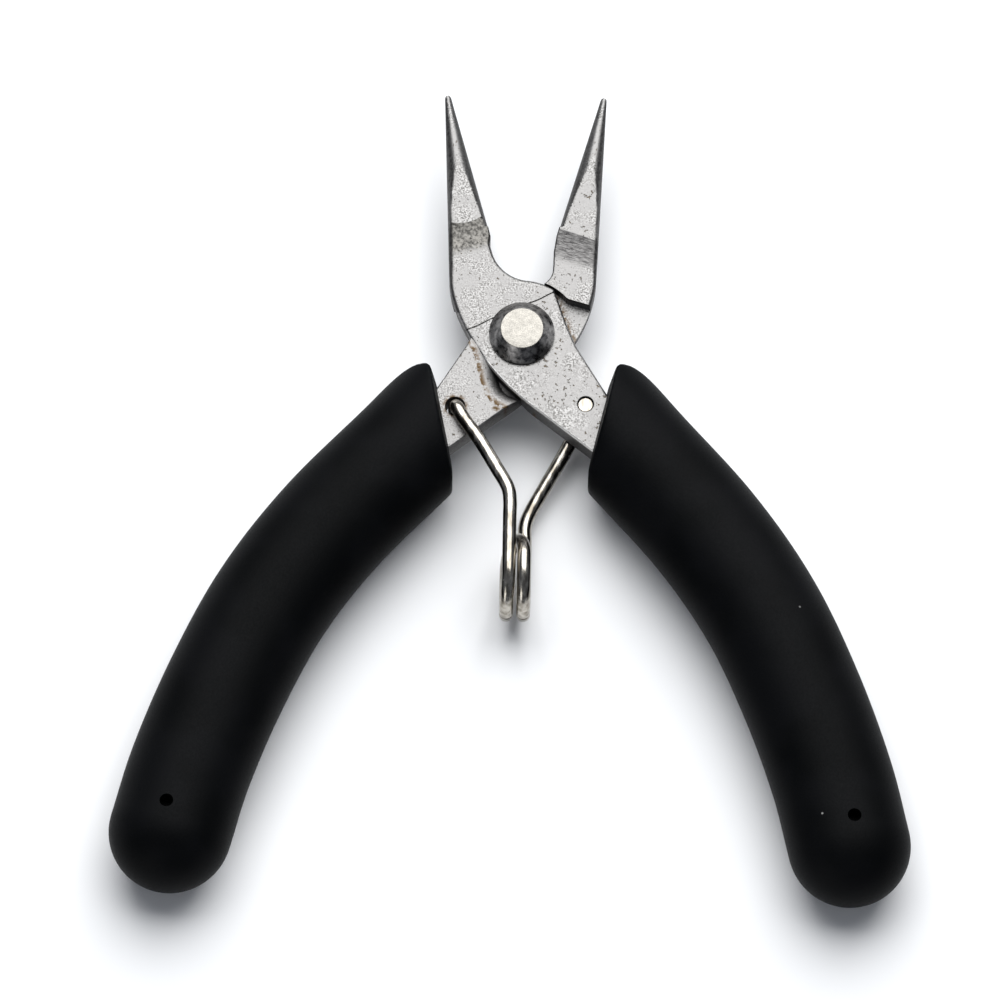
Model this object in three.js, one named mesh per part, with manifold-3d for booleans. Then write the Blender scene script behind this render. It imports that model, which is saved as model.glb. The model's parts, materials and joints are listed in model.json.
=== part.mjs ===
// Miniature needle nose pliers with a lap joint, one rivet, a wire return spring and two moulded grips.
// Millimetres. X across the handles, Y towards the jaw tips, Z up through the rivet.
// Each steel half is drawn closed, with its gripping face along Y, and then opened about the rivet.

import * as THREE from 'three';
import * as BufferGeometryUtils from 'three/addons/utils/BufferGeometryUtils.js';
import Module from 'manifold-3d';

const wasm = await Module();
wasm.setup();

// ---------------------------------------------------------------- driving dimensions

const OPEN_ANGLE = THREE.MathUtils.degToRad( 16.2 ); // each half, from closed to rest
const CLEARANCE = 0.3; // between neighbouring pieces

const STEEL_HALF = 1.4; // half the thickness of a steel half at the joint and the arm
const JAW_HALF = 1.7; // half the thickness of the jaw at its flat
const JAW_LENGTH = 27.05; // rivet centre to tip
const TIP_RADIUS = 0.33;
const TIP_X = - 0.38; // centre of the tip, beside the gripping face
const FACE_HEEL_X = - 0.24; // the gripping face leans back to here, so the tips meet first
const HEEL_Y = 11;
const CONE_START_Y = 12.9; // the jaw is turned to a cone from here to the tip
const CONE_SLOPE = 0.1285; // radius gained per millimetre from the tip
const CONE_LEAN = 0.1335; // sideways shift of the cone's axis per millimetre
const CONE_STRETCH = 1.24; // the cone is a little deeper than it is wide
const GRIND_END_Y = 9.9; // lower end of the ground hollow between joint and jaw

const BOSS_RADIUS = 5.85;
const NECK_RADIUS = 4.1; // the hollow between boss and jaw
const NECK_Y = 9.29;
const JAW_SIDE_X = - 5.35; // widest part of the jaw root
const LAP_WALL_Y = 5.35; // the shoulder that the other half's arm would meet

const RIVET_SHANK_RADIUS = 1.9;
const RIVET_HOLE_RADIUS = 2.0;
const RIVET_HEAD_RADIUS = 3.3;
const RIVET_TOP_RADIUS = 2.12;
const RIVET_RIM = 0.35;
const RIVET_HEAD_HEIGHT = 1.65;
const RIVET_SEAT_GAP = 0.1;

const WIRE_RADIUS = 0.69;
const SPRING_HOLE_RADIUS = 1.0;
const SPRING_HOLE = new THREE.Vector2( 4.2, - 8.85 ); // in the closed half
const COIL_Y = - 25.45; // coil centre, from the rivet
const COIL_RADIUS = 3.75; // to the middle of the wire
const COIL_PITCH = 1.72; // between neighbouring turns
const COIL_SWEEP = 1.45 * Math.PI; // each half of the wire: front, bottom, back, just short of the top
const LEG_BEND_Y = - 18.3; // where each leg turns away from the coil
const LEG_Z = STEEL_HALF + WIRE_RADIUS + CLEARANCE; // height of a leg over its arm

const TANG_HALF_WIDTH = 2.6;
const TANG_END = 0.86; // share of the grip's middle line that the steel tang fills
const GRIP_HALF_WIDTH = 6.15;
const GRIP_HALF_THICKNESS = 5.3;
const GRIP_END_STRETCH = 1.03;
const GRIP_TWIST = 0.65; // degrees: the left grip leans out by this much and the right one in
const GRIP_TWIST_CENTRE = [ 14, - 28, 0 ];
const MOUTH = new THREE.Vector2( 5.0, - 11.2 ); // middle of the grip's slanted mouth
const MOUTH_DIRECTION = THREE.MathUtils.degToRad( 61.6 ); // the way the mouth faces, from +Y
const MOUTH_FLAT = 1.9; // half the height of the mouth's upright edge
const MOUTH_LEAN = THREE.MathUtils.degToRad( 35 ); // it leans back above and below that
const VENT_RADIUS = 0.68;
const VENT_DEPTH = 2;
const VENT = new THREE.Vector2( 18.45, - 59.1 );

// The grip's middle line, from above the mouth down to the centre of its rounded end.
const GRIP_LINE = new THREE.CatmullRomCurve3( [
	new THREE.Vector3( 2.2, - 3, 0 ),
	new THREE.Vector3( 7.0, - 13.7, 0 ),
	new THREE.Vector3( 12.2, - 24.4, 0 ),
	new THREE.Vector3( 15.45, - 34, 0 ),
	new THREE.Vector3( 17.1, - 43.7, 0 ),
	new THREE.Vector3( 17.8, - 53, 0 ),
	new THREE.Vector3( 17.65, - 60.4, 0 ),
] );

// ---------------------------------------------------------------- solids and booleans

function solid( geometry ) {

	const bare = geometry.clone();
	bare.deleteAttribute( 'normal' );
	bare.deleteAttribute( 'uv' );
	const merged = BufferGeometryUtils.mergeVertices( bare, 1e-4 );
	const vertProperties = new Float32Array( merged.attributes.position.array );
	const triVerts = new Uint32Array( merged.index.array );
	return new wasm.Manifold( new wasm.Mesh( { numProp: 3, vertProperties, triVerts } ) );

}

function geometryOf( manifold ) {

	const mesh = manifold.getMesh();
	const geometry = new THREE.BufferGeometry();
	geometry.setAttribute( 'position', new THREE.Float32BufferAttribute( mesh.vertProperties, 3 ) );
	geometry.setIndex( Array.from( mesh.triVerts ) );
	return geometry;

}

// A flat outline given thickness between two heights.
function plate( shape, low, high, curveSegments = 12 ) {

	const options = { depth: high - low, bevelEnabled: false, curveSegments };
	return solid( new THREE.ExtrudeGeometry( shape, options ).translate( 0, 0, low ) );

}

function upright( radius, low, high, x, y, sides = 20 ) {

	const geometry = new THREE.CylinderGeometry( radius, radius, high - low, sides );
	geometry.rotateX( Math.PI / 2 ).translate( x, y, ( low + high ) / 2 );
	return solid( geometry );

}

// An open line of points moved sideways; positive is to the right of its direction.
function offsetLine( points, distance ) {

	return points.map( ( point, i ) => {

		const before = points[ Math.max( i - 1, 0 ) ];
		const after = points[ Math.min( i + 1, points.length - 1 ) ];
		const along = new THREE.Vector2().subVectors( after, before ).normalize();
		return new THREE.Vector2( point.x + along.y * distance, point.y - along.x * distance );

	} );

}

// ---------------------------------------------------------------- steel half

// The jaw, the boss around the rivet and the first part of the arm, seen from the front.
function headOutline() {

	const neckX = FACE_HEEL_X - 0.3 + NECK_RADIUS;
	const meet = Math.atan2( NECK_Y, neckX ); // direction in which neck and boss circles touch
	const corner = THREE.MathUtils.degToRad( 41 );
	const outline = new THREE.Shape();
	outline.moveTo( TIP_X + TIP_RADIUS, JAW_LENGTH - TIP_RADIUS );
	outline.lineTo( FACE_HEEL_X, HEEL_Y );
	outline.lineTo( neckX - NECK_RADIUS, HEEL_Y - 0.8 );
	outline.absarc( neckX, NECK_Y, NECK_RADIUS, Math.PI, meet + Math.PI, false );
	outline.absarc( 0, 0, BOSS_RADIUS, meet, corner, true );
	outline.lineTo( 4.62, 0 );
	outline.lineTo( 4.95, - 2.7 );
	outline.lineTo( 6.45, - 8 );
	outline.lineTo( 7.9, - 12.5 );
	outline.lineTo( 4.6, - 15.2 );
	outline.lineTo( 3.3, - 13.6 );
	outline.lineTo( - 0.35, - 8.6 );
	outline.quadraticCurveTo( - 3.3, - 4.9, - 4.55, - 1 );
	outline.quadraticCurveTo( - 6.3, 4.2, JAW_SIDE_X, 8 );
	outline.lineTo( TIP_X - TIP_RADIUS, JAW_LENGTH - TIP_RADIUS );
	outline.absarc( TIP_X, JAW_LENGTH - TIP_RADIUS, TIP_RADIUS, Math.PI, 0, true );
	return outline;

}

// The strip of steel that runs down inside the grip, as a closed outline.
function tangOutline( grow ) {

	const stations = 16;
	const line = [];
	for ( let i = 0; i <= stations; i ++ ) {

		const share = THREE.MathUtils.lerp( 0.14, TANG_END, i / stations );
		const point = GRIP_LINE.getPointAt( share );
		line.push( new THREE.Vector2( point.x, point.y ) );

	}

	const along = new THREE.Vector2().subVectors( line[ stations ], line[ stations - 1 ] ).normalize();
	line[ stations ].addScaledVector( along, grow );
	const halfWidth = TANG_HALF_WIDTH + grow;
	return new THREE.Shape( [ ...offsetLine( line, halfWidth ), ...offsetLine( line, - halfWidth ).reverse() ] );

}

// The visible part of the arm, grown on both sides, to open the grip's mouth around it.
function armOutline( grow ) {

	const outer = [ [ 4.95, - 2.7 ], [ 6.45, - 8 ], [ 8.6, - 15 ] ];
	const inner = [ [ - 0.35, - 8.6 ], [ 3.3, - 13.6 ], [ 4.8, - 16.5 ] ];
	const toVector = ( [ x, y ] ) => new THREE.Vector2( x, y );
	const right = offsetLine( outer.map( toVector ), - grow );
	const left = offsetLine( inner.map( toVector ), grow );
	return new THREE.Shape( [ ...right, ...left.reverse() ] );

}

// Thickness of the half seen from the side: joint, ground hollow, jaw flat.
function sideProfile() {

	const profile = new THREE.Shape();
	profile.moveTo( - 70, - STEEL_HALF );
	profile.lineTo( GRIND_END_Y, - STEEL_HALF );
	profile.quadraticCurveTo( ( GRIND_END_Y + CONE_START_Y ) / 2, - STEEL_HALF, CONE_START_Y, - JAW_HALF );
	profile.lineTo( JAW_LENGTH + 1, - JAW_HALF );
	profile.lineTo( JAW_LENGTH + 1, JAW_HALF );
	profile.lineTo( CONE_START_Y, JAW_HALF );
	profile.quadraticCurveTo( ( GRIND_END_Y + CONE_START_Y ) / 2, STEEL_HALF, GRIND_END_Y, STEEL_HALF );
	profile.lineTo( - 70, STEEL_HALF );
	const options = { depth: 80, bevelEnabled: false, curveSegments: 4 };
	const geometry = new THREE.ExtrudeGeometry( profile, options );
	// The profile's own x runs along Y and its y runs along Z.
	geometry.applyMatrix4( new THREE.Matrix4().set( 0, 0, 1, - 40, 1, 0, 0, 0, 0, 1, 0, 0, 0, 0, 0, 1 ) );
	return solid( geometry );

}

// Everything below the jaw, joined to the cone that the jaw is turned to.
function jawShaper() {

	const length = JAW_LENGTH - CONE_START_Y + 1;
	const profile = [
		new THREE.Vector2( 0, 0 ),
		new THREE.Vector2( TIP_RADIUS * 0.6, 0 ),
		new THREE.Vector2( TIP_RADIUS, 0.25 ),
		new THREE.Vector2( TIP_RADIUS + length * CONE_SLOPE, length ),
		new THREE.Vector2( 0, length ),
	];
	const cone = new THREE.LatheGeometry( profile, 32 );
	cone.rotateX( Math.PI ).scale( 1, 1, CONE_STRETCH );
	cone.rotateZ( - Math.atan( CONE_LEAN ) ).translate( TIP_X, JAW_LENGTH, 0 );
	const below = new THREE.BoxGeometry( 80, 90, 20 ).translate( 0, CONE_START_Y - 45, 0 );
	return solid( cone ).add( solid( below ) );

}

// The area that the other half's plate sweeps between closed and fully open.
function lapOutline() {

	const neckX = - ( FACE_HEEL_X - 0.3 + NECK_RADIUS );
	const radius = BOSS_RADIUS + CLEARANCE;
	const start = Math.PI - Math.asin( LAP_WALL_Y / radius );
	const meet = Math.atan2( NECK_Y, neckX );
	const outline = new THREE.Shape();
	outline.moveTo( - 9, - 9.7 );
	outline.lineTo( - 9, LAP_WALL_Y );
	outline.absarc( 0, 0, radius, start, meet, true );
	outline.absarc( neckX, NECK_Y, NECK_RADIUS - CLEARANCE, meet - Math.PI, 0, false );
	outline.lineTo( 9, NECK_Y );
	outline.lineTo( 9, 0 );
	outline.lineTo( 7.4, - 1 );
	outline.quadraticCurveTo( 3.9, - 3.8, 3.1, - 5.6 );
	outline.lineTo( 1.75, - 7.5 );
	outline.lineTo( 0.1, - 9.7 );
	return outline;

}

function steelHalf() {

	const head = plate( headOutline(), - 3, 3, 8 );
	const tang = plate( tangOutline( 0 ), - STEEL_HALF, STEEL_HALF );
	const blank = head.add( tang ).intersect( sideProfile() ).intersect( jawShaper() );
	const lap = plate( lapOutline(), - 3, CLEARANCE / 2, 6 );
	const rivetHole = upright( RIVET_HOLE_RADIUS, - 3, 3, 0, 0 );
	const springHole = upright( SPRING_HOLE_RADIUS, - 3, 3, SPRING_HOLE.x, SPRING_HOLE.y, 16 );
	return blank.subtract( lap ).subtract( rivetHole ).subtract( springHole );

}

// ---------------------------------------------------------------- rivet

function rivet() {

	const seat = STEEL_HALF + RIVET_SEAT_GAP;
	const upper = [
		[ RIVET_SHANK_RADIUS, seat ],
		[ RIVET_HEAD_RADIUS, seat ],
		[ RIVET_HEAD_RADIUS, seat + RIVET_RIM ],
		[ RIVET_TOP_RADIUS, seat + RIVET_HEAD_HEIGHT ],
		[ 0, seat + RIVET_HEAD_HEIGHT ],
	];
	const lower = upper.map( ( [ radius, height ] ) => [ radius, - height ] ).reverse();
	const profile = [ ...lower, ...upper ].map( ( [ radius, height ] ) => new THREE.Vector2( radius, height ) );
	return new THREE.LatheGeometry( profile, 32 ).rotateX( Math.PI / 2 );

}

// ---------------------------------------------------------------- spring

// Points along one half of the spring, from the hook in its arm to the top of the coil.
// The left half is drawn; the right half is the same wire turned half a turn about Y.
function springLine() {

	const hook = SPRING_HOLE.clone().rotateAround( new THREE.Vector2(), OPEN_ANGLE );
	const outer = - 0.75 * COIL_PITCH;
	const points = [
		new THREE.Vector3( - hook.x, hook.y, - STEEL_HALF + 0.1 ),
		new THREE.Vector3( - hook.x, hook.y, STEEL_HALF - 0.2 ),
		new THREE.Vector3( - hook.x + 0.25, hook.y - 0.6, LEG_Z - 0.1 ),
		new THREE.Vector3( - hook.x + 1.1, hook.y - 2.2, LEG_Z + 0.2 ),
		new THREE.Vector3( outer - 1.2, LEG_BEND_Y + 2.4, COIL_RADIUS - 0.3 ),
		new THREE.Vector3( outer + 0.15, LEG_BEND_Y, COIL_RADIUS ),
		new THREE.Vector3( outer + 0.2, LEG_BEND_Y - 1.6, COIL_RADIUS ),
	];
	const steps = 12;
	for ( let i = 0; i <= steps; i ++ ) {

		const angle = COIL_SWEEP * i / steps;
		const across = outer + COIL_PITCH * angle / ( 2 * Math.PI );
		const y = COIL_Y - COIL_RADIUS * Math.sin( angle );
		points.push( new THREE.Vector3( across, y, COIL_RADIUS * Math.cos( angle ) ) );

	}

	return new THREE.CatmullRomCurve3( points, false, 'centripetal' );

}

function springHalf() {

	const section = new THREE.Shape();
	section.absarc( 0, 0, WIRE_RADIUS, 0, 2 * Math.PI, false );
	const options = { steps: 60, bevelEnabled: false, curveSegments: 5, extrudePath: springLine() };
	return new THREE.ExtrudeGeometry( section, options );

}

// ---------------------------------------------------------------- grips

// The mouth is cut on a slant, so that the grip reaches highest on the outside.
function gripArea() {

	const area = new THREE.Shape();
	area.moveTo( 40, - 9.9 );
	area.lineTo( 11.9, - 9.9 );
	area.quadraticCurveTo( 9.0, - 4.6, 6.5, - 7.7 );
	area.lineTo( 3.4, - 14 );
	area.quadraticCurveTo( 2.0, - 16.6, 2.05, - 17.6 );
	area.lineTo( 2.1, - 18.5 );
	area.lineTo( - 5, - 25 );
	area.lineTo( - 5, - 80 );
	area.lineTo( 40, - 80 );
	return area;

}

// A block with one leaning face, which lets the spring's legs pass the mouth when the tool closes.
function mouthWedge( side ) {

	const block = new THREE.BoxGeometry( 40, 30, 30 ).translate( 0, 15, 0 );
	block.rotateX( side * MOUTH_LEAN ).translate( 0, 0, side * MOUTH_FLAT );
	block.rotateZ( MOUTH_DIRECTION ).translate( MOUTH.x, MOUTH.y, 0 );
	return solid( block );

}

function grip( twist ) {

	const section = new THREE.Shape();
	section.absellipse( 0, 0, GRIP_HALF_THICKNESS, GRIP_HALF_WIDTH, 0, 2 * Math.PI, false );
	const options = { steps: 26, bevelEnabled: false, curveSegments: 16, extrudePath: GRIP_LINE };
	const tube = solid( new THREE.ExtrudeGeometry( section, options ) );
	const end = GRIP_LINE.getPointAt( 1 );
	const ball = new THREE.SphereGeometry( 1, 22, 12 ).rotateX( Math.PI / 2 );
	const width = GRIP_HALF_WIDTH * GRIP_END_STRETCH;
	ball.scale( width, width, GRIP_HALF_THICKNESS ).translate( end.x, end.y, 0 );
	let body = tube.add( solid( ball ) ).intersect( plate( gripArea(), - 8, 8, 4 ) );
	for ( const side of [ 1, - 1 ] ) {

		const middle = side * GRIP_HALF_THICKNESS;
		const vent = upright( VENT_RADIUS, middle - VENT_DEPTH, middle + VENT_DEPTH, VENT.x, VENT.y, 12 );
		body = body.subtract( vent ).subtract( mouthWedge( side ) );

	}

	const away = GRIP_TWIST_CENTRE.map( ( value ) => - value );
	body = body.translate( away ).rotate( [ 0, 0, twist ] ).translate( GRIP_TWIST_CENTRE );
	const slot = STEEL_HALF + CLEARANCE;
	return body
		.subtract( plate( tangOutline( CLEARANCE ), - slot, slot ) )
		.subtract( plate( armOutline( CLEARANCE ), - slot, slot ) );

}

// ---------------------------------------------------------------- materials and assembly

const steel = new THREE.MeshStandardMaterial( { color: 0xb9b6b1, roughness: 0.42, metalness: 1 } );
const polished = new THREE.MeshStandardMaterial( { color: 0xd8d4cc, roughness: 0.2, metalness: 1 } );
const vinyl = new THREE.MeshStandardMaterial( { color: 0x17191c, roughness: 0.6, metalness: 0 } );

function named( name, geometry, material ) {

	const mesh = new THREE.Mesh( geometry, material );
	mesh.name = name;
	return mesh;

}

const frontBody = new THREE.Group();
frontBody.rotation.z = OPEN_ANGLE;
frontBody.add( named( 'front_half', geometryOf( steelHalf() ), steel ) );
frontBody.add( named( 'right_grip', geometryOf( grip( - GRIP_TWIST ) ), vinyl ) );

// The back half is the same forging turned half a turn about Y, and opens the other way.
const backBody = new THREE.Group();
backBody.rotation.set( 0, Math.PI, - OPEN_ANGLE, 'ZYX' );
backBody.add( named( 'back_half', geometryOf( steelHalf() ), steel ) );
backBody.add( named( 'left_grip', geometryOf( grip( GRIP_TWIST ) ), vinyl ) );

const leftSpring = named( 'spring_left_leg', springHalf(), polished );
const rightSpring = named( 'spring_right_leg', springHalf(), polished );
rightSpring.rotation.y = Math.PI;

const pliers = new THREE.Group();
pliers.add( frontBody, backBody, named( 'pivot_rivet', rivet(), polished ), leftSpring, rightSpring );

// The origin goes to the middle of the underside, where the pliers lie on their grips.
const box = new THREE.Box3().setFromObject( pliers, true );
pliers.position.set( - ( box.min.x + box.max.x ) / 2, - ( box.min.y + box.max.y ) / 2, - box.min.z );

const part = new THREE.Group();
part.add( pliers );

export default part;
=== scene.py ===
# Miniature needle nose pliers, lying open: two forged steel halves on one rivet, a wire return spring
# and two moulded vinyl grips. Drawn in millimetres about the rivet, and placed in metres.

import json
import math
from collections import namedtuple

import bpy
import numpy as np
from mathutils import Matrix, Vector
from mathutils.geometry import delaunay_2d_cdt


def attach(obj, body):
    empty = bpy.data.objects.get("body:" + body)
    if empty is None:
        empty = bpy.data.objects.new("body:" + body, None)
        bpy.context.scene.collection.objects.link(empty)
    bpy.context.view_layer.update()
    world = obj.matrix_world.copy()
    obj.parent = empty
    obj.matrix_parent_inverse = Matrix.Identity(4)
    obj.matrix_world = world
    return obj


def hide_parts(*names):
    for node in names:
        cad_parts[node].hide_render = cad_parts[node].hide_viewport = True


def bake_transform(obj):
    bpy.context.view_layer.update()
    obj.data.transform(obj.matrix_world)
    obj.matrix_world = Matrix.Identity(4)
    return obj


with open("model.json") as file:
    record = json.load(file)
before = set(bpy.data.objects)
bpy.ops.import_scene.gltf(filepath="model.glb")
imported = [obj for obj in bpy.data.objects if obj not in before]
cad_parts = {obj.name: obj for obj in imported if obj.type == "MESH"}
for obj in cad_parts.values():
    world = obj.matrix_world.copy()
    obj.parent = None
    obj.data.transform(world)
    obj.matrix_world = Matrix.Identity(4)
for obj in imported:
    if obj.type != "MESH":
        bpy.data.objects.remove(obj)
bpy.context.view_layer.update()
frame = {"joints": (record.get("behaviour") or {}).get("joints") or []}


# ---------------------------------------------------------------- the two steel halves
# Each half is one forging of stainless steel: jaw, boss and arm, with a strip that runs down inside its
# grip. The faces are ground flat and blasted, the jaw is turned to a cone, and half the thickness is
# cut away at the joint, so that two like halves lap. Everything is drawn closed, gripping face along Y.

MM = 0.001
PIVOT = Vector(next(joint["pos_m"] for joint in frame["joints"] if joint["name"] == "jaw_pivot"))
OPEN_ANGLE = math.radians(16.2)
OPENED = Matrix.Translation(PIVOT) @ Matrix.Scale(MM, 4)
FRONT = OPENED @ Matrix.Rotation(OPEN_ANGLE, 4, "Z")
BACK = OPENED @ Matrix.Rotation(-OPEN_ANGLE, 4, "Z") @ Matrix.Rotation(math.pi, 4, "Y")

PLATE = 1.4  # half the thickness at boss and arm
JAW_FLAT = 1.7  # half the thickness at the jaw's flat
LAP_FLOOR = 0.02
JAW_LENGTH = 27.05
TIP_X = -0.38
TIP_RADIUS = 0.33
HEEL = (-0.24, 11.0)
CONE_SLOPE = 0.1285
CONE_LEAN = 0.1335
CONE_STRETCH = 1.24
BOSS_RADIUS = 5.85
NECK_CENTRE = (3.56, 9.29)
NECK_RADIUS = 4.1
SHOULDER_Y = 4.95
LAP_PLAY = 0.06
SHOULDER_DRAFT = 0.03
ARM_DRAFT = 1.9
RIVET_HOLE = 2.0
SPRING_HOLES = {"front_half": (4.2, -8.85), "back_half": (4.11, -9.34)}
SPRING_HOLE_RADII = {"front_half": 0.84, "back_half": 1.02}
GRAIN = 0.2  # spacing of the mesh over the head
TANG_HALF_WIDTH = 2.6


def arc(centre, radius, start, end, steps=24):
    angles = np.linspace(start, end, steps + 1)
    return [(centre[0] + radius * math.cos(a), centre[1] + radius * math.sin(a)) for a in angles]


def bow(start, bend, end, steps=16):
    """A curve from start to end that leans towards bend."""
    a, b, c = (np.array(p, float) for p in (start, bend, end))
    return [tuple((1 - t) ** 2 * a + 2 * t * (1 - t) * b + t * t * c) for t in np.linspace(0, 1, steps + 1)]


def flowing(points, steps=8):
    """A smooth line through a few points."""
    p = np.array(points, float)
    p = np.vstack([2 * p[0] - p[1], p, 2 * p[-1] - p[-2]])
    line = []
    for i in range(1, len(p) - 2):
        for t in np.arange(steps) / steps:
            line.append(0.5 * (2 * p[i] + (p[i + 1] - p[i - 1]) * t
                               + (2 * p[i - 1] - 5 * p[i] + 4 * p[i + 1] - p[i + 2]) * t ** 2
                               + (3 * p[i] - p[i - 1] - 3 * p[i + 1] + p[i + 2]) * t ** 3))
    return np.array(line + [p[-2]])


def evenly(line, step):
    """The same line in even steps, without its last point."""
    line = np.array(line, float)
    along = np.concatenate([[0], np.cumsum(np.linalg.norm(np.diff(line, axis=0), axis=1))])
    at = np.linspace(0, along[-1], max(1, round(along[-1] / step)) + 1)[:-1]
    return np.stack([np.interp(at, along, line[:, i]) for i in range(line.shape[1])], axis=1)


def sideways(line):
    """Unit vectors to the left of a line's direction."""
    along = np.gradient(np.array(line, float), axis=0)
    along /= np.linalg.norm(along, axis=1)[:, None]
    return np.stack([-along[:, 1], along[:, 0]], axis=1)


def nearest(points, line):
    """How far each point is from a line, and the piece of the line it is nearest to."""
    start, step = line[:-1], np.diff(line, axis=0)
    gaps, pieces = [], []
    for batch in np.array_split(points, max(1, len(points) // 1500)):
        offset = batch[:, None] - start
        share = np.clip((offset * step).sum(2) / (step ** 2).sum(1), 0, 1)
        gap = np.linalg.norm(offset - share[..., None] * step, axis=2)
        pieces.append(gap.argmin(1))
        gaps.append(gap.min(1))
    return np.concatenate(gaps), np.concatenate(pieces)


def inside(points, ring):
    x, y = points[:, :1], points[:, 1:]
    (x0, y0), (x1, y1) = ring.T, np.roll(ring, -1, axis=0).T
    height = np.where(y1 == y0, 1, y1 - y0)
    crossed = ((y0 > y) != (y1 > y)) & (x < (x1 - x0) * (y - y0) / height + x0)
    return crossed.sum(1) % 2 == 1


def eased(low, high, value):
    """0 below low, 1 above high, and a smooth rise between them."""
    t = np.clip((value - low) / (high - low), 0, 1)
    return t * t * (3 - 2 * t)


# The grip's middle line, from above its mouth to the centre of its rounded end.
GRIP_LINE = flowing([(2.2, -3), (7.0, -13.7), (12.2, -24.4), (15.45, -34), (17.1, -43.7), (17.8, -53),
                     (17.65, -60.4)], 24)
tang_line = GRIP_LINE[(GRIP_LINE[:, 1] < -18) & (GRIP_LINE[:, 1] > -52)][::6]
tang_side = sideways(tang_line) * TANG_HALF_WIDTH

# One half's outline and edges. The front half's hollow is plain, and the back half's has brush streaks.
Half = namedtuple("Half", "ring closed face_rounding lap_rounding hole hole_radius hole_ring bevelled"
                          " streaks")
neck_meets_boss = math.atan2(NECK_CENTRE[1], NECK_CENTRE[0])
boss_corner = math.radians(41)

# The jaw's foot and the boss. The front half's foot is round, and the back half's is straighter.
NECKS = {
    "front_half": [(NECK_CENTRE[0] - NECK_RADIUS, HEEL[1] - 0.8)]
    + arc(NECK_CENTRE, NECK_RADIUS, math.pi, math.pi + neck_meets_boss)
    + arc((0, 0), BOSS_RADIUS, neck_meets_boss, boss_corner),
    "back_half": [(-0.45, 9.4), (-0.8, 8.12), (-0.98, 7.3)]
    + bow((-0.98, 7.3), (-1.05, 6.5), (-0.47, 5.83), 6)[1:-1]
    + arc((0, 0), BOSS_RADIUS, math.radians(94.6), boss_corner),
}


def softened(values, ring):
    """Rounding that changes gradually along the edge, and gets small at the slender tip."""
    wide = np.concatenate([values[-4:], values, values[:4]])
    values = np.convolve(wide, np.full(9, 1 / 9), "valid")
    return values * np.clip((JAW_LENGTH - ring[:, 1]) / 11, 0.25, 1)


def edged(name):
    """The outline of one half, counterclockwise, and how far its edge is rounded on both sides."""
    neck = NECKS[name]
    # Each stretch of the outline, clockwise from the tip, with the rounding on its face and its lap side.
    stretches = [
        ([(TIP_X + TIP_RADIUS, JAW_LENGTH - TIP_RADIUS), HEEL], 0.1, 0.1),
        ([HEEL] + neck, 0.4, 0.2),
        (neck[-1:] + [(4.62, 0), (4.95, -2.7), (6.45, -8), (7.9, -12.5)], 0.34, 0.2),
        ([(7.9, -12.5)] + list(tang_line + tang_side), 0.15, 0.15),
        (list(tang_line + tang_side)[-1:] + list(tang_line - tang_side)[::-1], 0.15, 0.15),
        (list(tang_line - tang_side)[:1] + [(4.6, -15.2), (3.3, -13.6), (-0.35, -8.6)], 0.24, 0.15),
        (bow((-0.35, -8.6), (-3.3, -4.9), (-4.55, -1)), 0.24, 0.2),
        (bow((-4.55, -1), (-6.3, 4.2), (-5.35, 8)), 0.36, 0.36),
        ([(-5.35, 8), (TIP_X - TIP_RADIUS, JAW_LENGTH - TIP_RADIUS)], 0.5, 0.5),
        (arc((TIP_X, JAW_LENGTH - TIP_RADIUS), TIP_RADIUS, math.pi, 0, 6), 0.12, 0.12),
    ]
    highlit_edges = (5, 6)  # the lower left edge of the front face, which gets a painted highlight along its rounding
    ring, on_face, on_lap, bevelled = [], [], [], []
    for number, (line, face, lap) in enumerate(stretches):
        fine = line[0][1] > -17 or line[-1][1] > -17
        walked = evenly(line, GRAIN if fine else 1.2)
        ring.append(walked)
        on_face += [face] * len(walked)
        on_lap += [lap] * len(walked)
        bevelled += [number in highlit_edges] * len(walked)
    ring = np.vstack(ring)[::-1]
    closed = np.vstack([ring, ring[:1]])
    hole, hole_radius = np.array(SPRING_HOLES[name]), SPRING_HOLE_RADII[name]
    hole_ring = np.array(arc(hole, hole_radius, 2 * math.pi, 0, 36))[:-1]
    return Half(ring, closed, softened(on_face[::-1], ring), softened(on_lap[::-1], ring), hole, hole_radius,
                hole_ring, np.array(bevelled[::-1], float), name == "back_half")


rivet_hole = np.array(arc((0, 0), RIVET_HOLE, 2 * math.pi, 0, 48))[:-1]


def cone_height(x, y):
    """The turned jaw: a slightly deep cone whose axis leans away from the gripping face."""
    from_tip = JAW_LENGTH - y
    radius = TIP_RADIUS + CONE_SLOPE * from_tip
    off_axis = x - TIP_X + CONE_LEAN * from_tip
    return CONE_STRETCH * np.sqrt(np.clip(radius ** 2 - off_axis ** 2, 0.0025, None)), off_axis / radius


def rounded_edge(height, gap, rounding):
    """The height lowered along the outline by a quarter round."""
    inward = np.clip(gap, 0, rounding)
    drop = rounding - np.sqrt(np.clip(rounding ** 2 - (rounding - inward) ** 2, 0, None))
    return np.maximum(height - drop, 0.05)


def hollow_top(x, on_face):
    """The upper edge of the ground hollow between jaw and joint."""
    return 12.9 + 0.147 * (x + 2) ** 2 if on_face else 11.82 + 0.03 * x


HOLLOW_END = {True: 9.6, False: 8.4}


def step_line(x):
    """A shallow step across the boss, left where the lower face was ground a second time."""
    return 2.76 + 0.164 * x + 0.05 * np.sin(1.9 * x)


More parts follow.
